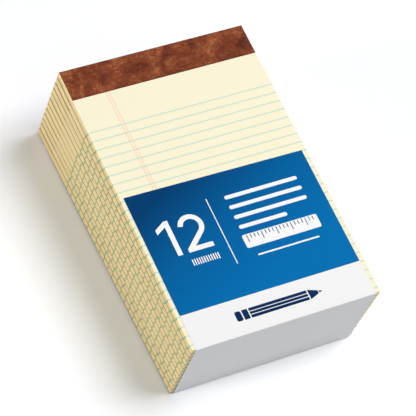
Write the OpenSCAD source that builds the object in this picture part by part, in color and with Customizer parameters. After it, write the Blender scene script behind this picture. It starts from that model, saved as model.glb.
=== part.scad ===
// A pack of lined writing pads, lying on its back with the bound heads toward +Y.
// Each pad is a block of sheets and a chipboard back, stapled at the head,
// with a leatherette strip folded over the head. One paper sleeve holds the pack
// round the tail. The heads are thicker than the tails, so the stack is a wedge.

/* [Pad] */
// Width of a pad across its rules
pad_w = 127; // [100:0.5:216]
// Length of a pad from tail to bound head
pad_l = 203.2; // [170:0.1:300]
// Sheets in one pad
sheet_count = 50; // [30:1:80]
// Thickness of one sheet as it lies in the pad
sheet_t = 0.085; // [0.06:0.001:0.12]
// Thickness of the chipboard back
board_t = 0.7; // [0.6:0.05:1.2]
// How much thicker the sheets lie at the stapled head than at the tail
head_swell = 0.3; // [0.1:0.05:1]
// Radius of the block's upper corner under the fold of the strip
sheet_corner = 0.8; // [0.3:0.1:1.5]
// Radius of the board's lower corner under the fold of the strip
board_corner = 0.3; // [0.1:0.05:0.5]

/* [Binding strip] */
// Length of each leg of the strip, measured from the head
strip_w = 22; // [15:0.5:32]
// Thickness of the strip
strip_t = 0.25; // [0.15:0.05:0.5]
// Film of glue between the strip and what it wraps
glue_t = 0.02; // [0.01:0.01:0.05]

/* [Staples] */
// Thickness of the square staple wire
wire_t = 0.4; // [0.3:0.05:0.5]
// Length of a staple's crown over its legs
crown_l = 12; // [10:0.5:16]
// Length of each clinched foot, leg included
foot_l = 4; // [2:0.5:4.5]
// Distance of the staples from the head
staple_inset = 9; // [5:0.5:13]
// Distance between the two staples of a pad
staple_pitch = 70; // [30:1:80]
// Room round the wire in the sheets and the board
wire_gap = 0.05; // [0.02:0.01:0.1]

/* [Pack] */
// Pads in the pack
pad_count = 12; // [2:1:12]
// Room between one pad and the next
pad_gap = 0.05; // [0.02:0.01:0.2]
// How far the lowest pad's tail lies behind the top pad's
lean_back = 6; // [0:0.5:8]
// How far the lowest pad is turned against the top pad, in degrees
turn_low = 0.4; // [0:0.1:0.5]
// How far the pads lie out of line with each other, 0 for a true stack
scatter = 1; // [0:0.1:1.2]

/* [Sleeve] */
// Width of the sleeve
sleeve_w = 121.5; // [80:0.5:210]
// How far the sleeve sits to the left of the top pad's middle
sleeve_left = 0.4; // [0:0.1:1]
// How far the sleeve's lower fold sits to the left of its upper fold
sleeve_skew = 0.7; // [0:0.1:2]
// Length of the sleeve's front leg from the tail, down its middle
front_l = 106.5; // [60:0.5:140]
// How much longer the front leg is at its left edge than at its right
front_slant = 1.6; // [0:0.1:4]
// Length of the sleeve's back leg from the tail
back_l = 106.5; // [60:0.5:140]
// Thickness of the sleeve's paper
sleeve_t = 0.22; // [0.15:0.01:0.5]
// Inner radius of the sleeve's two folds
fold_r = 0.5; // [0.4:0.1:2]
// Room between the sleeve and the pads
sleeve_gap = 0.05; // [0.02:0.01:0.2]

/* [Hidden] */
// Sideways and lengthwise jog of each pad from the line of the stack, bottom pad first
jog_x = [-0.4, -0.35, -0.25, -0.3, -0.2, -0.15, -0.15, 0, 0.05, 0.1, 0.25, 0.4];
jog_y = [0, 0.15, 0.05, 0.15, 0, 0.15, 0.05, 0.1, 0, 0.1, 0, 0];
lean_room = 4;
arc_steps = 8;
cut_room = 1;

last = pad_count - 1;
function below_top(i) = (last - i) / last;
function shift_x(i) = scatter * jog_x[i];
function shift_y(i) = lean_back * below_top(i) + scatter * jog_y[i];
function turn(i) = turn_low * below_top(i);

// One pad in its own frame: tail at y = 0, underside of the board at z = 0
core_tail = board_t + sheet_count * sheet_t;
swell_a = atan(head_swell / pad_l);
wrap_t = glue_t + strip_t;
strip_y = pad_l - strip_w;
half_w = pad_w / 2;
sheet_cy = pad_l - sheet_corner;
sheet_cz = top_z(sheet_cy) - sheet_corner / cos(swell_a);
board_cy = pad_l - board_corner;
board_cz = board_corner;
staple_y = pad_l - staple_inset;
crown_z = top_z(staple_y - wire_t / 2);
half_crown = crown_l / 2;

function top_z(y) = core_tail + y * tan(swell_a);
function arc(cy, cz, r, from, to) =
    [for (k = [0:arc_steps]) let (a = from + (to - from) * k / arc_steps) [cy + r * cos(a), cz + r * sin(a)]];
function off_top(y, d) = [y - d * sin(swell_a), top_z(y) + d * cos(swell_a)];
function head_arc(d, from, to) = arc(sheet_cy, sheet_cz, sheet_corner + d, from, to);
function foot_arc(d, from, to) = arc(board_cy, board_cz, board_corner + d, from, to);

// Each pad rests on the one below at its tail and strip on strip at its head
tilt_step = swell_a + atan((2 * wrap_t + pad_gap) / (strip_y - lean_room));
base_z = max(wrap_t, sleeve_t + sleeve_gap);
function tilt(i) = i * tilt_step;
function pad_y(i) = shift_y(i) + core_tail * sin(tilt(i));
function tail_top(i) = pad_z(i) + core_tail * cos(tilt(i));
function ahead(i) = max(0, pad_y(i) - shift_y(i - 1));
function pad_z(i) =
    i == 0 ? base_z : tail_top(i - 1) + pad_gap + ahead(i) * tan(tilt(i - 1) + swell_a);

// The sleeve's front leg lies on the sheets of the top pad, and its end panel leans with the tails
top_tilt = tilt(last) + swell_a;
leg_z = tail_top(last) + sleeve_gap / cos(top_tilt) - shift_y(last) * tan(top_tilt);
fold_low_z = sleeve_t + fold_r;
fold_high_z = leg_z - fold_r / cos(top_tilt);
low_y = lean_back - half_w * sin(turn(0));
panel_lean = atan(low_y / (fold_high_z - fold_low_z));
sleeve_x = shift_x(last) - sleeve_left;
front_y = front_l * cos(top_tilt);
front_uncut = front_l + front_slant / 2 + cut_room;
function front_end(d) = [
    front_uncut * cos(top_tilt) - d * sin(top_tilt),
    leg_z + front_uncut * sin(top_tilt) + d * cos(top_tilt)];

// Middle of the pack's outline, brought to the origin
function head_y(i) = board_cy * cos(tilt(i)) - board_cz * sin(tilt(i)) + board_corner + wrap_t;
far_y = [for (i = [0:last]) pad_y(i) + head_y(i) * cos(turn(i)) + half_w * sin(turn(i))];
left_x = [for (i = [0:last]) shift_x(i) - half_w * cos(turn(i)) - head_y(i) * sin(turn(i))];
right_x = [for (i = [0:last]) shift_x(i) + half_w * cos(turn(i))];
mid_y = (max(far_y) - fold_r - sleeve_t) / 2;
mid_x = (max(right_x) + min(left_x)) / 2;

function pad_name(i, piece) = str("pad_", i < 9 ? "0" : "", i + 1, "_", piece);
PIECES = ["board", "staples", "pages", "binding"];

page_colour = [0.98, 0.95, 0.8];
board_colour = [0.64, 0.57, 0.46];
strip_colour = [0.47, 0.24, 0.15];
wire_colour = [0.75, 0.76, 0.78];
sleeve_colour = [0.1, 0.42, 0.68];

// A profile drawn as length and height, extruded across the pad
module across(profile, w) {
    rotate([90, 0, 90])
        linear_extrude(w, center = true)
            polygon(profile);
}

// Puts a pad's piece in its place in the leaning stack
module in_stack(i) {
    translate([shift_x(i) - mid_x, pad_y(i) - mid_y, pad_z(i)])
        rotate([tilt(i), 0, turn(i)])
            children();
}

// A staple, or with some room the slot that it lies in
module staple(room) {
    h = half_crown + room;
    leg = half_crown - wire_t - room;
    toe = half_crown - foot_l - room;
    low = -room;
    sole = wire_t + room;
    under = crown_z - wire_t - room;
    high = crown_z + room;
    right_half = [[leg, under], [leg, sole], [toe, sole], [toe, low], [h, low], [h, high]];
    left_half = [for (k = [len(right_half) - 1:-1:0]) [-right_half[k][0], right_half[k][1]]];
    rotate([90, 0, 0])
        linear_extrude(wire_t + 2 * room, center = true)
            polygon(concat(right_half, left_half));
}

module both_staples(room) {
    for (side = [-1, 1])
        translate([side * staple_pitch / 2, staple_y, 0])
            staple(room);
}

// Chipboard back, its lower head corner rounded and its underside slotted for the feet
module pad_board(i) {
    profile = concat([[0, 0]], foot_arc(0, -90, 0), [[pad_l, board_t], [0, board_t]]);
    color(board_colour)
        in_stack(i)
            difference() {
                across(profile, pad_w);
                both_staples(wire_gap);
            }
}

// The sheets as one block, swelling toward the head
module pad_pages(i) {
    profile = concat([[0, board_t], [pad_l, board_t]], head_arc(0, 0, 90 + swell_a), [[0, core_tail]]);
    color(page_colour)
        in_stack(i)
            difference() {
                across(profile, pad_w);
                both_staples(wire_gap);
            }
}

// Two wire staples, crowns flush with the top sheet and feet clinched into the board
module pad_staples(i) {
    color(wire_colour)
        in_stack(i)
            both_staples(0);
}

// Leatherette strip folded over the head, one leg on the sheets and one under the board
module pad_binding(i) {
    outer = concat(
        [[strip_y, -wrap_t]],
        foot_arc(wrap_t, -90, 0),
        head_arc(wrap_t, 0, 90 + swell_a),
        [off_top(strip_y, wrap_t)]);
    inner = concat(
        [off_top(strip_y, glue_t)],
        head_arc(glue_t, 90 + swell_a, 0),
        foot_arc(glue_t, 0, -90),
        [[strip_y, -glue_t]]);
    color(strip_colour)
        in_stack(i)
            across(concat(outer, inner), pad_w);
}

// Everything between the sleeve's two side edges, which slant to the left below the upper fold
module between_sides() {
    half = sleeve_w / 2;
    slip = sleeve_skew * (1 + cut_room / fold_high_z);
    low = -cut_room;
    high = 2 * leg_z;
    rotate([90, 0, 0])
        linear_extrude(2 * (front_l + back_l), center = true)
            polygon([[half, high], [-half, high], [-half, fold_high_z], [-half - slip, low],
                     [half - slip, low], [half, fold_high_z]]);
}

// What is trimmed off the far end of the front leg
module front_trim() {
    far = front_uncut + front_slant + cut_room;
    translate([0, 0, leg_z / 2])
        linear_extrude(leg_z)
            polygon([[-sleeve_w, front_y + front_slant], [sleeve_w, front_y - front_slant],
                     [sleeve_w, far], [-sleeve_w, far]]);
}

// Paper sleeve folded round the tail of the whole pack, a little askew
module sleeve() {
    far = fold_r + sleeve_t;
    back_end = low_y + back_l;
    panel_a = 180 + panel_lean;
    outer = concat(
        [[back_end, 0]],
        arc(low_y, fold_low_z, far, 270, panel_a),
        arc(0, fold_high_z, far, panel_a, 90 + top_tilt),
        [front_end(sleeve_t)]);
    inner = concat(
        [front_end(0)],
        arc(0, fold_high_z, fold_r, 90 + top_tilt, panel_a),
        arc(low_y, fold_low_z, fold_r, panel_a, 270),
        [[back_end, sleeve_t]]);
    color(sleeve_colour)
        translate([sleeve_x - mid_x, -mid_y, 0])
            difference() {
                intersection() {
                    across(concat(outer, inner), sleeve_w + 2 * (sleeve_skew + cut_room));
                    between_sides();
                }
                front_trim();
            }
}

for (i = [0:last]) {
    pad_board(i);
    pad_staples(i);
    pad_pages(i);
    pad_binding(i);
}
sleeve();
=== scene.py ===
import math
import random

import bmesh
import bpy
from mathutils import Matrix, Vector


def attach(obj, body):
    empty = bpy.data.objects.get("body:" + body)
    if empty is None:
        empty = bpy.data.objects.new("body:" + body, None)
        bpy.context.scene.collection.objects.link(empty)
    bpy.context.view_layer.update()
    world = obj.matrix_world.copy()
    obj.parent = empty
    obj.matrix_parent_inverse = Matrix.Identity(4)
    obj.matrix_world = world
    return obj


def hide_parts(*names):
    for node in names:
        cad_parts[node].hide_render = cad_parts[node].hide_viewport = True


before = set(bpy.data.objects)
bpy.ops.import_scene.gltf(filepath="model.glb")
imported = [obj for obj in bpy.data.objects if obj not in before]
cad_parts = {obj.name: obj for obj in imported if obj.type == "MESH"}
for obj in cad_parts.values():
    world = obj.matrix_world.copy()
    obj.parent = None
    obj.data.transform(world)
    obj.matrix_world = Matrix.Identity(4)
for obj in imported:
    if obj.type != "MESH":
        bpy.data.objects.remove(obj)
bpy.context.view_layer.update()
random.seed(12)

MM = 0.001

# Sizes and counts of the solids, in millimetres, with the turn in radians
PAD_W = 127.0
PAD_L = 203.2
SHEETS = 50
SHEET_T = 0.085
BOARD_T = 0.7
SWELL = 0.3
SHEET_CORNER = 0.8
BOARD_CORNER = 0.3
STRIP_W = 22.0
STRIP_T = 0.25
GLUE_T = 0.02
PADS = 12
PAD_GAP = 0.05
LEAN_BACK = 6.0
TURN_LOW = math.radians(0.4)
LEAN_ROOM = 4.0
JOG_X = [-0.4, -0.35, -0.25, -0.3, -0.2, -0.15, -0.15, 0, 0.05, 0.1, 0.25, 0.4]
JOG_Y = [0, 0.15, 0.05, 0.15, 0, 0.15, 0.05, 0.1, 0, 0.1, 0, 0]
SLEEVE_W = 121.5
SLEEVE_LEFT = 0.4
FRONT_L = 106.5
SLEEVE_T = 0.22
FOLD_R = 0.5
SLEEVE_GAP = 0.05

# Sizes that follow from those
CORE = BOARD_T + SHEETS * SHEET_T
HEAD_SHEET_T = SHEET_T + SWELL / SHEETS
SWELL_A = math.atan(SWELL / PAD_L)
WRAP = GLUE_T + STRIP_T
HALF_W = PAD_W / 2
STRIP_Y = PAD_L - STRIP_W
LAST = PADS - 1
LIFT_SLOPE = (2 * WRAP + PAD_GAP) / (STRIP_Y - LEAN_ROOM)
TILT_STEP = SWELL_A + math.atan(LIFT_SLOPE)
BASE_Z = max(WRAP, SLEEVE_T + SLEEVE_GAP)

# Print on the page, in millimetres from the head and from the middle
RULE_FIRST = 46.9
RULE_PITCH = 6.38
RULE_W = 0.6
TICK_W = 0.9
MARGIN_X = (-40.8, -38.9)
MARGIN_W = 0.65

# The rules begin this many pitches past the first one
RULES_BEGIN = -0.4

# Shares of a printed line's width, from its middle, between which it fades out
LINE_FULL = 0.5
LINE_GONE = 0.9

# Paper of a covered pad swells up towards the pad above, just short of the strips
AIR = 0.04
SWELL_AT = STRIP_Y - 2.2
SWELL_END = STRIP_Y - 0.3
FULL_SWELL = PAD_GAP + SWELL_AT * LIFT_SLOPE - AIR

# How the sheets of a pad lie and are printed out of line, in millimetres
START_SPREAD = 1.6
SLANT_RANGE = (0.7, 1.3)
BOW_SPREAD = 0.3
PRINT_SPREAD = 0.05
CUT_SPREAD = 0.06

# Share of a sheet's height that is paper, and the tone of the top sheet's edge
PAPER_SHARE = 0.95
TOP_TONE = 0.75

# Each pad's strip is cut from another part of the mottled roll, this many metres on
MOTTLE_STEP = 0.137

# Smoothness of the strip's fold
FOLD_STEPS = 10
SHARP_ANGLE = math.radians(40)

# Mottling of the strip: shares of its two noises, half width of a vein, and where veins are worn
BLOTCH_SHARE = 0.48
FINE_SHARE = 0.52
NOISE_MIDDLE = 0.5
VEIN_HALF = 0.03
WORN_FROM = 0.45
WORN_TO = 0.62

# Rims of the strip, in millimetres
RIM_END = 1.1
RIM_SIDE = 1.0
RUBBED_FROM = 0.35
RUBBED_TO = 0.6

# White band at the sleeve's tail, in millimetres, and how the blue above it changes
BAND_H = 22.9
BAND_BLUR = 0.06
BLUE_ACROSS = 0.62
BLUE_DOWN = 0.88
BLUE_START = 0.15

# A face counts as turned along a direction past this share of its normal
FACE_ON = 0.5


# A colour in screen values from 0 to 255, as light values
def srgb(r, g, b):
    def channel(c):
        c = c / 255
        return c / 12.92 if c <= 0.04045 else ((c + 0.055) / 1.055) ** 2.4
    return (channel(r), channel(g), channel(b), 1.0)


def grey(v):
    return (v, v, v, 1)


# Colours of the pages and of their cut edges
PAPER_DARK = (0.935, 0.875, 0.640, 1)
PAPER_LIGHT = (0.965, 0.912, 0.685, 1)
PAPER_CLOUD = (0.955, 0.893, 0.650, 1)
MARGIN_PINK = srgb(252, 205, 182)
RULE_GREEN = srgb(194, 222, 205)
CUT_RAMP = [(0.0, (0.79, 0.58, 0.27, 1)),
            (0.45, (0.97, 0.77, 0.39, 1)),
            (1.0, (1.0, 0.86, 0.48, 1))]
CUT_STREAK = (0.90, 0.68, 0.33, 1)
# Lighter cut colour for faces turned to the tail or head: painted light that lifts the shade on the
# tail faces
CUT_TAIL_PAINTED_LIGHT = (1.0, 0.92, 0.57, 1)
TICK_GREEN = srgb(110, 172, 116)

# Colours of the boards
BOARD_RAMP = [(0.3, (0.23, 0.17, 0.11, 1)),
              (0.55, (0.33, 0.25, 0.165, 1)),
              (0.75, (0.45, 0.36, 0.25, 1))]
BOARD_PATCH = (0.30, 0.23, 0.155, 1)
# Paler tan on the boards' cut edges at head and tail: painted light that lifts their shade
BOARD_TAIL_PAINTED_LIGHT = (0.74, 0.60, 0.36, 1)

# Colours of the binding strips
STRIP_RAMP = [(0.37, srgb(74, 30, 16)),
              (0.45, srgb(104, 47, 26)),
              (0.505, srgb(119, 57, 32)),
              (0.56, srgb(136, 69, 40)),
              (0.64, srgb(174, 106, 66))]
STRIP_VEIN = srgb(184, 116, 72)
STRIP_RIM = srgb(82, 32, 18)
STRIP_RUBBED = srgb(206, 172, 118)
STRIP_CUT = srgb(228, 200, 144)

# Colours of the sleeve, its inks and the staples
BLUE_RAMP = [(0.0, srgb(1, 58, 107)),
             (0.22, srgb(0, 78, 134)),
             (0.46, srgb(0, 95, 156)),
             (0.72, srgb(0, 103, 168)),
             (1.0, srgb(0, 111, 176))]
BLUE_FIBRE = (0.0, 0.14, 0.42, 1)
FRONT_WHITE = (grey(0.88), grey(0.92))
# Greyer white of the sleeve's faces not turned up, such as the end panel: partly a plainer stock,
# partly painted shade
PLAIN_WHITE_AND_PAINTED_SHADE = (grey(0.77), grey(0.81))
WHITE_INK = grey(0.95)
BLUE_INK = srgb(0, 74, 130)
NAVY_INK = srgb(10, 44, 88)
INK_SHADE = 0.8
WIRE_DARK = (0.60, 0.61, 0.63, 1)
WIRE_LIGHT = (0.74, 0.75, 0.77, 1)

# Flat ink on the sleeve: from just inside the paper to just above it, in millimetres
INK_LOW = -0.01
INK_HIGH = 0.02

# Steps of a bar's rounded corner, and the distance within which two points are one
CORNER_STEPS = 6
SAME_POINT = 1e-6

# The figures 1 and 2, in strokes of one width
DIGIT_LOW = 60.3
DIGIT_HIGH = 84.9
STROKE = 3.2
FLAG_REACH = 6.4
FLAG_TIP = (4.2, 7.7)
FLAG_ROOT = 4.0
FLAG_BEVEL = 0.6
BOWL_FROM = 168.0
BOWL_TO = -48.0
BOWL_STEPS = 24
BOWL_INSET = 0.2
BOWL_RISE = 0.3

# The pencil, in millimetres from its left end or from its tip
ERASER_L = 4.0
ERASER_R = 1.2
FERRULE_MID = 6.7
FERRULE_L = 3.8
FERRULE_R = 0.2
BODY_LEFT = 9.4
BODY_RIGHT = 9.9
BODY_R = 0.1
BODY_STRIPES = ((-0.5, -0.2), (-0.13, 0.13), (0.2, 0.5))
NECK = 9.1
WOOD_END = 2.9
LEAD_START = 2.3

# Bars of the white print: middle, height above the tail fold, width, height and corner radius
DIVIDER = (-12.4, 68.1, 0.6, 47.0, 0.1)
TALLY_BARS = [(-38.0 + 1.545 * k, 53.4, 0.75, 4.2, 0.2) for k in range(PADS)]
LONG_LINES = [(24.0, v, 50.0, 2.6, 1.3) for v in (88.6, 81.4, 74.2)]
SHORT_LINE = (15.5, 67.0, 33.0, 2.6, 1.3)
SCALE_PLATE = (23.5, 56.75, 51.2, 9.3, 1.2)
THIN_LINE = (23.3, 46.2, 42.0, 1.1, 0.5)

# Marks of the ruler scale
MARKS = 19
MARK_FIRST = 1.0
MARK_PITCH = 2.5
MARK_TOP = 60.9
MARK_W = 0.55
MARK_R = 0.05
LONG_MARK = 5.2
SHORT_MARK = 2.8
LONG_EVERY = 4

# Camera, from the fit to the photograph's edges
CAMERA_LENS = 198.01
CAMERA_SENSOR = 36.0
CAMERA_CLIP = 20.0
CAMERA_PLACE = (-530.12, -638.24, 1187.84)
CAMERA_RIGHT = (0.89053, -0.41786, 0.17985)
CAMERA_DOWN = (-0.25886, -0.79056, -0.55499)
CAMERA_AHEAD = (0.37409, 0.44768, -0.81218)

# Floor, sky and the point the lamps aim at, with lengths in metres
FLOOR_HALF = 4.0
FLOOR_Z = -0.0002
FLOOR_COLOUR = (0.925, 0.94, 0.97, 1)
FLOOR_LIFT = 0.09
FLOOR_NEAR = 0.35
FLOOR_FAR = 1.1
WHITE = grey(1)
SKY = 0.22
LAMP_AIM = (0.0, 0.0, 0.03)


# Place of each pad, by the rule that stacks the solids
def below_top(i):
    return (LAST - i) / LAST


def tilt(i):
    return i * TILT_STEP


def turn(i):
    return TURN_LOW * below_top(i)


def shift_y(i):
    return LEAN_BACK * below_top(i) + JOG_Y[i]


def pad_y(i):
    return shift_y(i) + CORE * math.sin(tilt(i))


def top_z(y):
    return CORE + y * math.tan(SWELL_A)


pad_z = [BASE_Z]
for i in range(1, PADS):
    ahead = max(0.0, pad_y(i) - shift_y(i - 1))
    rise = CORE * math.cos(tilt(i - 1)) + PAD_GAP + ahead * math.tan(tilt(i - 1) + SWELL_A)
    pad_z.append(pad_z[-1] + rise)


def head_y(i):
    flat = (PAD_L - BOARD_CORNER) * math.cos(tilt(i)) - BOARD_CORNER * math.sin(tilt(i))
    return flat + BOARD_CORNER + WRAP


far_y = [pad_y(i) + head_y(i) * math.cos(turn(i)) + HALF_W * math.sin(turn(i)) for i in range(PADS)]
left_x = [JOG_X[i] - HALF_W * math.cos(turn(i)) - head_y(i) * math.sin(turn(i)) for i in range(PADS)]
right_x = [JOG_X[i] + HALF_W * math.cos(turn(i)) for i in range(PADS)]
MID_Y = (max(far_y) - FOLD_R - SLEEVE_T) / 2
MID_X = (max(right_x) + min(left_x)) / 2


def pad_matrix(i):
    place = Vector((JOG_X[i] - MID_X, pad_y(i) - MID_Y, pad_z[i])) * MM
    spin = Matrix.Rotation(turn(i), 4, "Z") @ Matrix.Rotation(tilt(i), 4, "X")
    return Matrix.Translation(place) @ spin


# The sleeve's front leg as a frame of its own: x across, y from the tail fold, z off the paper
TOP_TILT = tilt(LAST) + SWELL_A
LEG_Z = (pad_z[LAST] + CORE * math.cos(tilt(LAST)) + SLEEVE_GAP / math.cos(TOP_TILT)
         - shift_y(LAST) * math.tan(TOP_TILT))
front_foot = Vector((JOG_X[LAST] - SLEEVE_LEFT - MID_X, -MID_Y - SLEEVE_T * math.sin(TOP_TILT),
                     LEG_Z + SLEEVE_T * math.cos(TOP_TILT))) * MM
front_matrix = Matrix.Translation(front_foot) @ Matrix.Rotation(TOP_TILT, 4, "X")


class Graph:
    """The nodes of a material or of the world, built by short calls that return sockets."""

    def __init__(self, owner, out_kind="ShaderNodeOutputMaterial"):
        self.owner = owner
        owner.use_nodes = True
        self.nt = owner.node_tree
        self.nt.nodes.clear()
        self.out = self.node(out_kind)

    def put(self, socket, value):
        if isinstance(value, bpy.types.NodeSocket):
            self.nt.links.new(value, socket)
        else:
            socket.default_value = value

    def node(self, kind, **props):
        n = self.nt.nodes.new(kind)
        for name, value in props.items():
            setattr(n, name, value)
        return n

    def math(self, op, *values):
        n = self.node("ShaderNodeMath", operation=op)
        for socket, value in zip(n.inputs, values):
            self.put(socket, value)
        return n.outputs[0]

    def vmath(self, op, a, b):
        n = self.node("ShaderNodeVectorMath", operation=op)
        self.put(n.inputs[0], a)
        self.put(n.inputs[1], b)
        return n.outputs["Value"] if op == "DOT_PRODUCT" else n.outputs["Vector"]

    def split(self, vec):
        n = self.node("ShaderNodeSeparateXYZ")
        self.put(n.inputs[0], vec)
        return n.outputs[0], n.outputs[1], n.outputs[2]

    def mix(self, fac, a, b):
        n = self.node("ShaderNodeMix", data_type="RGBA")
        self.put(n.inputs["Factor"], fac)
        self.put(n.inputs[6], a)
        self.put(n.inputs[7], b)
        return n.outputs[2]

    def stretch(self, vec, factors):
        return self.vmath("MULTIPLY", vec, factors)

    def noise(self, vec, scale, detail, rough, distortion=0.0):
        n = self.node("ShaderNodeTexNoise")
        self.put(n.inputs["Vector"], vec)
        n.inputs["Scale"].default_value = scale
        n.inputs["Detail"].default_value = detail
        n.inputs["Roughness"].default_value = rough
        n.inputs["Distortion"].default_value = distortion
        return n.outputs["Fac"]

    def ramp(self, fac, stops):
        n = self.node("ShaderNodeValToRGB")
        elements = n.color_ramp.elements
        while len(elements) < len(stops):
            elements.new(0.5)
        for element, (position, colour) in zip(elements, stops):
            element.position = position
            element.color = colour
        self.put(n.inputs[0], fac)
        return n.outputs[0]

    def span(self, v, low, high):
        """Smooth step from 0 at low to 1 at high."""
        n = self.node("ShaderNodeMapRange", interpolation_type="SMOOTHSTEP")
        self.put(n.inputs["Value"], v)
        n.inputs["From Min"].default_value = low
        n.inputs["From Max"].default_value = high
        return n.outputs[0]

    def fall(self, v, low, high):
        """Smooth step from 1 at low to 0 at high."""
        return self.math("SUBTRACT", 1.0, self.span(v, low, high))

    def line(self, off, width):
        """A printed line with soft edges, where off is the distance from its middle."""
        return self.fall(off, width * LINE_FULL * MM, width * LINE_GONE * MM)

    def weigh(self, a, weight_a, b, weight_b):
        """Sum of two values, each times its weight."""
        return self.math("ADD", self.math("MULTIPLY", a, weight_a), self.math("MULTIPLY", b, weight_b))

    def vary(self, v, low, spread):
        """A value from 0 to 1, carried over to low and up to a spread above it."""
        return self.math("MULTIPLY_ADD", v, spread, low)

    def tint(self, base, colour, mask, amount):
        """Another colour laid over the base where the mask is."""
        return self.mix(self.math("MULTIPLY", mask, amount), base, colour)

    def coords(self):
        return self.node("ShaderNodeTexCoord").outputs["Object"]

    def normal(self):
        return self.node("ShaderNodeTexCoord").outputs["Normal"]

    def faces(self, axis):
        """Whether the surface is turned along an axis, either way."""
        part = self.split(self.normal())[axis]
        return self.math("GREATER_THAN", self.math("ABSOLUTE", part), FACE_ON)

    def attr(self, name):
        return self.node("ShaderNodeAttribute", attribute_name=name).outputs["Fac"]

    def bump(self, height, strength, distance):
        n = self.node("ShaderNodeBump")
        n.inputs["Strength"].default_value = strength
        n.inputs["Distance"].default_value = distance
        self.put(n.inputs["Height"], height)
        return n.outputs[0]

    def glow(self):
        n = self.node("ShaderNodeEmission")
        n.inputs["Color"].default_value = WHITE
        return n

    def seen(self):
        """Whether a ray comes from the camera, directly or by gloss or glass."""
        path = self.node("ShaderNodeLightPath").outputs
        through = self.math("MAXIMUM", path["Is Glossy Ray"], path["Is Transmission Ray"])
        return self.math("MAXIMUM", path["Is Camera Ray"], through)

    def show(self, shader):
        self.nt.links.new(shader.outputs[0], self.out.inputs["Surface"])
        return self.owner

    def surface(self, colour, rough, normal, **sockets):
        b = self.node("ShaderNodeBsdfPrincipled")
        self.put(b.inputs["Base Color"], colour)
        self.put(b.inputs["Roughness"], rough)
        self.put(b.inputs["Normal"], normal)
        for name, value in sockets.items():
            self.put(b.inputs[name.replace("_", " ")], value)
        return self.show(b)


def material_graph(name):
    return Graph(bpy.data.materials.new(name))


# Canary paper with rules, a double margin line and ink that shows on the sheets' edges
def page_material():
    g = material_graph("canary_paper")
    p = g.coords()
    x, y = g.split(p)[:2]
    side = g.faces(0)
    tail = g.faces(1)
    edge = g.math("MAXIMUM", side, tail)

    printed_y = g.math("ADD", y, g.attr("print_shift"))
    from_first = g.math("SUBTRACT", (PAD_L - RULE_FIRST) * MM, printed_y)
    pitches = g.math("DIVIDE", from_first, RULE_PITCH * MM)
    from_rule = g.math("SUBTRACT", pitches, g.math("ROUND", pitches))
    off = g.math("MULTIPLY", g.math("ABSOLUTE", from_rule), RULE_PITCH * MM)
    ruled = g.math("GREATER_THAN", pitches, RULES_BEGIN)
    rule = g.math("MULTIPLY", g.line(off, RULE_W), ruled)
    tick = g.math("MULTIPLY", g.math("MULTIPLY", g.line(off, TICK_W), ruled), side)
    from_margins = [g.math("ABSOLUTE", g.math("SUBTRACT", x, mx * MM)) for mx in MARGIN_X]
    margin = g.math("MAXIMUM", *(g.line(gap, MARGIN_W) for gap in from_margins))

    fibre = g.noise(g.stretch(p, (1.0, 0.6, 1.0)), scale=900.0, detail=4.0, rough=0.6)
    cloud = g.noise(p, scale=18.0, detail=2.0, rough=0.5)
    paper = g.mix(fibre, PAPER_DARK, PAPER_LIGHT)
    paper = g.tint(paper, PAPER_CLOUD, cloud, amount=0.35)
    paper = g.tint(paper, MARGIN_PINK, margin, amount=0.55)
    paper = g.tint(paper, RULE_GREEN, rule, amount=0.82)

    tone = g.attr("sheet_tone")
    streak = g.noise(g.stretch(p, (1.0, 0.05, 9.0)), scale=520.0, detail=3.0, rough=0.6)
    cut = g.ramp(tone, CUT_RAMP)
    cut = g.tint(cut, CUT_STREAK, streak, amount=0.5)
    # Painted light: faces turned to the tail or head get a lighter cut colour to lift their shade
    cut = g.tint(cut, CUT_TAIL_PAINTED_LIGHT, tail, amount=0.85)
    cut = g.tint(cut, TICK_GREEN, tick, amount=0.75)

    colour = g.mix(edge, paper, cut)
    height = g.weigh(fibre, 0.4, tone, edge)
    bump = g.bump(height, strength=0.25, distance=0.00004)
    return g.surface(colour, g.vary(fibre, low=0.67, spread=0.16), bump, Specular_IOR_Level=0.25)


# Grey-brown chipboard with flecks, with painted light that makes it paler on the cut edges at head and
# tail
def board_material():
    g = material_graph("chipboard")
    p = g.coords()
    fleck = g.noise(g.stretch(p, (1.0, 0.5, 3.0)), scale=700.0, detail=4.0, rough=0.7)
    patch = g.noise(p, scale=60.0, detail=3.0, rough=0.6)
    colour = g.ramp(fleck, BOARD_RAMP)
    colour = g.tint(colour, BOARD_PATCH, patch, amount=0.4)
    # Painted light: the faces turned to the head or tail get a paler tan
    colour = g.tint(colour, BOARD_TAIL_PAINTED_LIGHT, g.faces(1), amount=0.6)
    bump = g.bump(fleck, strength=0.35, distance=0.00005)
    return g.surface(colour, g.vary(fleck, low=0.75, spread=0.2), bump, Specular_IOR_Level=0.2)


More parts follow.
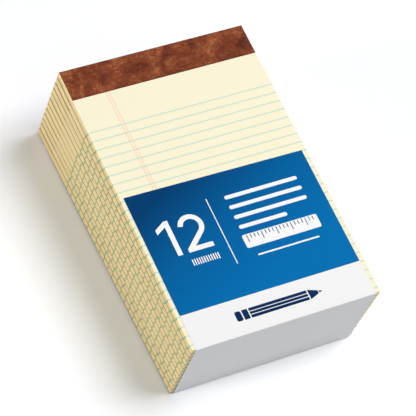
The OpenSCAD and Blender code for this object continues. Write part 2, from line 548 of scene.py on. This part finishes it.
# Mottled brown leatherette, darker along its rims, with pale cut ends and rubbed rims under other pads
def strip_material():
    g = material_graph("leatherette")
    p = g.coords()
    x, y = g.split(p)[:2]
    own = g.vmath("ADD", p, g.attr("mottle_shift"))
    blotch = g.noise(own, scale=62.0, detail=3.0, rough=0.55, distortion=0.8)
    fine = g.noise(g.stretch(own, (1.0, 1.3, 1.0)),
                   scale=420.0, detail=5.0, rough=0.78, distortion=0.5)
    colour = g.ramp(g.weigh(blotch, BLOTCH_SHARE, fine, FINE_SHARE), STRIP_RAMP)

    crease = g.noise(own, scale=130.0, detail=5.0, rough=0.65, distortion=1.0)
    vein = g.fall(g.math("ABSOLUTE", g.math("SUBTRACT", crease, NOISE_MIDDLE)), 0.0, VEIN_HALF)
    worn = g.span(blotch, WORN_FROM, WORN_TO)
    colour = g.tint(colour, STRIP_VEIN, g.math("MULTIPLY", vein, worn), amount=0.4)

    from_end = g.math("SUBTRACT", y, STRIP_Y * MM)
    from_side = g.math("SUBTRACT", HALF_W * MM, g.math("ABSOLUTE", x))
    rim = g.math("MAXIMUM", g.fall(from_end, 0.0, RIM_END * MM), g.fall(from_side, 0.0, RIM_SIDE * MM))
    colour = g.tint(colour, STRIP_RIM, rim, amount=0.6)
    rubbed = g.fall(from_side, RUBBED_FROM * MM, RUBBED_TO * MM)
    colour = g.tint(colour, STRIP_RUBBED, rubbed, amount=g.attr("covered"))
    colour = g.mix(g.faces(0), colour, STRIP_CUT)

    grain = g.noise(p, scale=1500.0, detail=3.0, rough=0.6)
    bump = g.bump(g.weigh(grain, 1.0, fine, 0.8), strength=0.35, distance=0.00008)
    return g.surface(colour, g.vary(fine, low=0.45, spread=0.3), bump, Specular_IOR_Level=0.1)


# Sleeve paper: blue field on the front above a white band, plain elsewhere in a greyer white that is
# partly plainer stock and partly painted shade
def sleeve_material():
    g = material_graph("sleeve_print")
    p = g.coords()
    up = tuple(front_matrix.to_3x3() @ Vector((0, 0, 1)))
    along = tuple(front_matrix.to_3x3() @ Vector((0, 1, 0)))
    front = g.math("GREATER_THAN", g.vmath("DOT_PRODUCT", g.normal(), up), FACE_ON)
    v = g.vmath("DOT_PRODUCT", g.vmath("SUBTRACT", p, tuple(front_foot)), along)
    x = g.math("SUBTRACT", g.split(p)[0], front_foot.x)
    past_band = g.span(v, (BAND_H - BAND_BLUR) * MM, (BAND_H + BAND_BLUR) * MM)

    across = g.math("DIVIDE", x, SLEEVE_W * MM)
    down = g.math("DIVIDE", g.math("SUBTRACT", FRONT_L * MM, v), (FRONT_L - BAND_H) * MM)
    slope = g.math("ADD", g.weigh(across, BLUE_ACROSS, down, BLUE_DOWN), BLUE_START)
    fibre = g.noise(p, scale=700.0, detail=4.0, rough=0.6)
    blue = g.tint(g.ramp(slope, BLUE_RAMP), BLUE_FIBRE, fibre, amount=0.08)
    # Faces not turned up get the greyer white: partly plainer stock, partly painted shade on the end
    # panel
    white = g.mix(front, g.mix(fibre, *PLAIN_WHITE_AND_PAINTED_SHADE), g.mix(fibre, *FRONT_WHITE))

    colour = g.mix(g.math("MULTIPLY", front, past_band), white, blue)
    bump = g.bump(fibre, strength=0.15, distance=0.00003)
    return g.surface(colour, g.vary(fibre, low=0.52, spread=0.16), bump, Specular_IOR_Level=0.03)


# Ink on the sleeve, a little uneven as on paper
def ink_material(name, ink):
    g = material_graph(name)
    fibre = g.noise(g.coords(), scale=800.0, detail=3.0, rough=0.6)
    shade = tuple(INK_SHADE * c for c in ink[:3]) + (1.0,)
    colour = g.tint(ink, shade, fibre, amount=0.12)
    bump = g.bump(fibre, strength=0.1, distance=0.00003)
    return g.surface(colour, g.vary(fibre, low=0.52, spread=0.16), bump, Specular_IOR_Level=0.03)


# Drawn steel wire of the staples
def wire_material():
    g = material_graph("staple_wire")
    p = g.coords()
    drawn = g.noise(g.stretch(p, (0.1, 1.0, 0.1)), scale=3000.0, detail=2.0, rough=0.5)
    colour = g.mix(drawn, WIRE_DARK, WIRE_LIGHT)
    bump = g.bump(drawn, strength=0.2, distance=0.00002)
    return g.surface(colour, g.vary(drawn, low=0.25, spread=0.2), bump, Metallic=1.0)


def link(o):
    bpy.context.scene.collection.objects.link(o)


def add_piece(name, mesh, matrix, mat, slot, *nodes):
    o = bpy.data.objects.new(name, mesh)
    link(o)
    o.matrix_world = matrix
    o.data.materials.append(mat)
    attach(o, "root")
    if nodes:
        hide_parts(*nodes)


def finished_mesh(bm, name):
    bmesh.ops.recalc_face_normals(bm, faces=bm.faces)
    mesh = bpy.data.meshes.new(name)
    bm.to_mesh(mesh)
    bm.free()
    return mesh


# Skin over rings of points, closed at both ends
def skin(bm, rings):
    bm.faces.new(rings[0])
    bm.faces.new(rings[-1][::-1])
    n = len(rings[0])
    for a, b in zip(rings, rings[1:]):
        for c in range(n):
            d = (c + 1) % n
            bm.faces.new((a[c], b[c], b[d], a[d]))


def arc(cx, cy, r, start, end, steps):
    pts = []
    for k in range(steps + 1):
        a = math.radians(start + (end - start) * k / steps)
        pts.append((cx + r * math.cos(a), cy + r * math.sin(a)))
    return pts


# How far a sheet at a given height reaches into the block's rounded corner at the head
def head_reach(z):
    cy = PAD_L - SHEET_CORNER
    cz = top_z(cy) - SHEET_CORNER
    d = max(0.0, z - cz)
    return cy + math.sqrt(max(0.0, SHEET_CORNER ** 2 - min(d, SHEET_CORNER) ** 2))


# One pad's block as its single sheets, each cut and printed a hair out of line
def sheets_mesh(i):
    bm = bmesh.new()
    tone = bm.verts.layers.float.new("sheet_tone")
    moved = bm.verts.layers.float.new("print_shift")
    start = 0.0 if i == LAST else random.uniform(-START_SPREAD, START_SPREAD)
    slant = random.uniform(*SLANT_RANGE)
    bow = random.uniform(-BOW_SPREAD, BOW_SPREAD)
    swell = 0.0 if i == LAST else FULL_SWELL / SHEETS
    for k in range(SHEETS):
        top = k == SHEETS - 1
        depth = (SHEETS - 1 - k) / (SHEETS - 1)
        jog_x = 0.0 if top else random.uniform(-CUT_SPREAD, CUT_SPREAD)
        jog_y = 0.0 if top else random.uniform(0.0, CUT_SPREAD)
        share = 1.0 if top else PAPER_SHARE
        shade = TOP_TONE if top else random.random()
        shift = start - slant * depth + bow * math.sin(math.pi * depth)
        shift += random.uniform(-PRINT_SPREAD, PRINT_SPREAD)
        if top:
            shift = start
        end = head_reach(BOARD_T + (k + share) * HEAD_SHEET_T)
        left, right = jog_x - HALF_W, jog_x + HALF_W
        rings = []
        for y, up in ((jog_y, 0.0), (SWELL_AT, swell), (SWELL_END, 0.0), (end, 0.0)):
            thick = SHEET_T + (HEAD_SHEET_T - SHEET_T) * y / PAD_L + up
            low = BOARD_T + k * thick
            high = low + thick * share
            corners = ((left, low), (right, low), (right, high), (left, high))
            rings.append([bm.verts.new((x * MM, y * MM, z * MM)) for x, z in corners])
        for ring in rings:
            for vert in ring:
                vert[tone] = shade
                vert[moved] = shift * MM
        skin(bm, rings)
    return finished_mesh(bm, f"sheets_{i + 1:02d}")


# The strip's path round the head at a distance from the pad: under the board, up and over the top sheet
def strip_path(d):
    sheet_cy = PAD_L - SHEET_CORNER
    sheet_cz = top_z(sheet_cy) - SHEET_CORNER / math.cos(SWELL_A)
    board_cy = PAD_L - BOARD_CORNER
    top_end = (STRIP_Y - d * math.sin(SWELL_A), top_z(STRIP_Y) + d * math.cos(SWELL_A))
    pts = [(STRIP_Y, -d)]
    pts += arc(board_cy, BOARD_CORNER, BOARD_CORNER + d, -90, 0, FOLD_STEPS)
    pts += arc(sheet_cy, sheet_cz, SHEET_CORNER + d, 0, 90 + math.degrees(SWELL_A), FOLD_STEPS)
    return pts + [top_end]


# The binding strip: its folded profile carried straight across the pad
def strip_mesh(i):
    bm = bmesh.new()
    covered = bm.verts.layers.float.new("covered")
    shift = bm.verts.layers.float.new("mottle_shift")
    profile = strip_path(WRAP) + strip_path(GLUE_T)[::-1]
    n = len(profile)
    rings = []
    for x in (-HALF_W, HALF_W):
        rings.append([bm.verts.new((x * MM, y * MM, z * MM)) for y, z in profile])
    for k in range(n):
        bm.faces.new((rings[0][k], rings[0][(k + 1) % n], rings[1][(k + 1) % n], rings[1][k]))
    for ring in rings:
        for k in range(n // 2 - 1):
            bm.faces.new((ring[k], ring[k + 1], ring[n - 2 - k], ring[n - 1 - k]))
        for vert in ring:
            vert[covered] = 0.0 if i == LAST else 1.0
            vert[shift] = MOTTLE_STEP * (LAST - i)
    mesh = finished_mesh(bm, f"strip_{i + 1:02d}")
    for poly in mesh.polygons:
        poly.use_smooth = True
    mesh.set_sharp_from_angle(angle=SHARP_ANGLE)
    return mesh


# Outlines of flat ink as thin slabs, in the front leg's own frame
def ink_mesh(name, outlines):
    bm = bmesh.new()
    for outline in outlines:
        rings = []
        for z in (INK_LOW, INK_HIGH):
            rings.append([bm.verts.new((x * MM, y * MM, z * MM)) for x, y in outline])
        skin(bm, rings)
    return finished_mesh(bm, name)


# A bar with rounded corners, round its middle
def bar(cx, cy, w, h, r):
    r = min(r, h / 2, w / 2)
    pts = []
    for sx, sy, a in ((1, 1, 0), (-1, 1, 90), (-1, -1, 180), (1, -1, 270)):
        pts += arc(cx + sx * (w / 2 - r), cy + sy * (h / 2 - r), r, a, a + 90, CORNER_STEPS)
    return [p for k, p in enumerate(pts) if math.dist(p, pts[k - 1]) > SAME_POINT]


def figure_one(right):
    left = right - STROKE
    flag = left - FLAG_REACH
    stem = [(left, DIGIT_LOW), (right, DIGIT_LOW), (right, DIGIT_HIGH), (left + FLAG_BEVEL, DIGIT_HIGH)]
    tip = [(flag, DIGIT_HIGH - drop) for drop in FLAG_TIP]
    return stem + tip + [(left, DIGIT_HIGH - FLAG_ROOT)]


def figure_two(left, right):
    r = (right - left) / 2 - BOWL_INSET
    cx, cy = (left + right) / 2, DIGIT_HIGH + BOWL_RISE - r
    run = Vector((math.sin(math.radians(BOWL_TO)), -math.cos(math.radians(BOWL_TO))))
    outer = arc(cx, cy, r, BOWL_FROM, BOWL_TO, BOWL_STEPS)
    inner = arc(cx, cy, r - STROKE, BOWL_TO, BOWL_FROM, BOWL_STEPS)
    foot = DIGIT_LOW + STROKE
    to_foot = (outer[-1][1] - foot) / -run.y
    to_left = (inner[0][0] - left) / -run.x
    meet = (outer[-1][0] + run.x * to_foot, foot)
    heel = (left, inner[0][1] + run.y * to_left)
    return outer + [meet, (right, foot), (right, DIGIT_LOW), (left, DIGIT_LOW), heel] + inner


# A pencil lying along the white band, in plain flat shapes
def pencil(left, right, v, h):
    parts = [bar(left + ERASER_L / 2, v, ERASER_L, h, ERASER_R),
             bar(left + FERRULE_MID, v, FERRULE_L, h, FERRULE_R)]
    body = (left + BODY_LEFT, right - BODY_RIGHT)
    for low, high in BODY_STRIPES:
        stripe_v = v + h * (low + high) / 2
        parts.append(bar(sum(body) / 2, stripe_v, body[1] - body[0], h * (high - low), BODY_R))
    slope = h / 2 / NECK
    neck, wood, lead = ((right - gap, slope * gap) for gap in (NECK, WOOD_END, LEAD_START))
    parts.append([(neck[0], v - neck[1]), (wood[0], v - wood[1]), (wood[0], v + wood[1]),
                  (neck[0], v + neck[1])])
    parts.append([(lead[0], v - lead[1]), (right, v), (lead[0], v + lead[1])])
    return parts


def scale_mark(k):
    length = LONG_MARK if k % LONG_EVERY == 0 else SHORT_MARK
    return bar(MARK_FIRST + MARK_PITCH * k, MARK_TOP - length / 2, MARK_W, length, MARK_R)


# The generic print: the count, tally bars, plain lines, a ruler scale and a pencil
white_bars = [DIVIDER, *TALLY_BARS, *LONG_LINES, SHORT_LINE, SCALE_PLATE, THIN_LINE]
white_print = [figure_one(right=-41.6), figure_two(left=-37.4, right=-20.6)]
white_print += [bar(*place) for place in white_bars]
scale_print = [scale_mark(k) for k in range(MARKS)]
pencil_print = pencil(left=-29.0, right=29.4, v=11.6, h=6.6)

paper_mat = page_material()
board_mat = board_material()
strip_mat = strip_material()
sleeve_mat = sleeve_material()
wire_mat = wire_material()

for i in range(PADS):
    key = f"pad_{i + 1:02d}"
    add_piece(f"sheets_{i + 1:02d}", sheets_mesh(i), pad_matrix(i), paper_mat, "paper", f"{key}_pages")
    add_piece(f"strip_{i + 1:02d}", strip_mesh(i), pad_matrix(i), strip_mat, "leatherette",
              f"{key}_binding")

white_mat = ink_material("white_print", WHITE_INK)
blue_mat = ink_material("blue_print", BLUE_INK)
navy_mat = ink_material("navy_print", NAVY_INK)
for name, outlines, mat, lift in (("print_white", white_print, white_mat, 0.0),
                                  ("print_scale", scale_print, blue_mat, INK_HIGH),
                                  ("print_pencil", pencil_print, navy_mat, 0.0)):
    place = front_matrix @ Matrix.Translation((0, 0, lift * MM))
    add_piece(name, ink_mesh(name, outlines), place, mat, "sleeve_paper")


# Better materials on the CAD nodes that keep their shape
def dress(node, mat):
    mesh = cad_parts[node].data
    mesh.materials.clear()
    mesh.materials.append(mat)


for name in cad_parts:
    if name.endswith("_board"):
        dress(name, board_mat)
    elif name.endswith("_staples"):
        dress(name, wire_mat)
    elif name == "sleeve":
        dress(name, sleeve_mat)


def make_camera():
    data = bpy.data.cameras.new("camera")
    data.sensor_width = CAMERA_SENSOR
    data.lens = CAMERA_LENS
    data.clip_end = CAMERA_CLIP
    cam = bpy.data.objects.new("camera", data)
    link(cam)
    spin = Matrix((Vector(CAMERA_RIGHT), -Vector(CAMERA_DOWN), -Vector(CAMERA_AHEAD))).transposed()
    cam.matrix_world = Matrix.Translation(Vector(CAMERA_PLACE) * MM) @ spin.to_4x4()
    bpy.context.scene.camera = cam


# Pale floor that keeps the shadow and fades to plain white far off
def floor_material():
    g = material_graph("floor")
    diffuse = g.node("ShaderNodeBsdfDiffuse")
    diffuse.inputs["Color"].default_value = FLOOR_COLOUR
    seen = g.seen()
    lift = g.glow()
    g.put(lift.inputs["Strength"], g.math("MULTIPLY", seen, FLOOR_LIFT))
    near = g.node("ShaderNodeAddShader")
    g.put(near.inputs[0], diffuse.outputs[0])
    g.put(near.inputs[1], lift.outputs[0])
    x, y = g.split(g.coords())[:2]
    reach = g.math("SQRT", g.math("ADD", g.math("MULTIPLY", x, x), g.math("MULTIPLY", y, y)))
    fade = g.node("ShaderNodeMixShader")
    g.put(fade.inputs[0], g.math("MULTIPLY", seen, g.span(reach, FLOOR_NEAR, FLOOR_FAR)))
    g.put(fade.inputs[1], near.outputs[0])
    g.put(fade.inputs[2], g.glow().outputs[0])
    return g.show(fade)


def make_floor():
    mesh = bpy.data.meshes.new("floor")
    corners = [(x * FLOOR_HALF, y * FLOOR_HALF, 0) for x, y in ((-1, -1), (1, -1), (1, 1), (-1, 1))]
    mesh.from_pydata(corners, [], [(0, 1, 2, 3)])
    floor = bpy.data.objects.new("floor", mesh)
    link(floor)
    floor.location.z = FLOOR_Z
    mesh.materials.append(floor_material())


# Even sky that lights the object softly and is plain white where it is seen
def make_sky():
    world = bpy.data.worlds.new("studio")
    bpy.context.scene.world = world
    g = Graph(world, "ShaderNodeOutputWorld")
    sky = g.node("ShaderNodeBackground")
    sky.inputs["Color"].default_value = WHITE
    g.put(sky.inputs["Strength"], g.vary(g.seen(), low=SKY, spread=1.0 - SKY))
    g.show(sky)


def lamp(name, place, size, power):
    data = bpy.data.lights.new(name, "AREA")
    data.shape = "DISK"
    data.size = size
    data.energy = power
    o = bpy.data.objects.new(name, data)
    link(o)
    o.location = place
    o.rotation_euler = (Vector(LAMP_AIM) - Vector(place)).to_track_quat("-Z", "Y").to_euler()


# The stage, with one large lamp from the upper right and a small low one from the left
make_camera()
make_floor()
make_sky()
lamp("key", place=(1.5, -0.3, 2.9), size=2.0, power=90.5)
lamp("fill", place=(-1.42, 0.0, 0.30), size=0.4, power=9.4)

scene = bpy.context.scene
scene.view_settings.view_transform = "Standard"
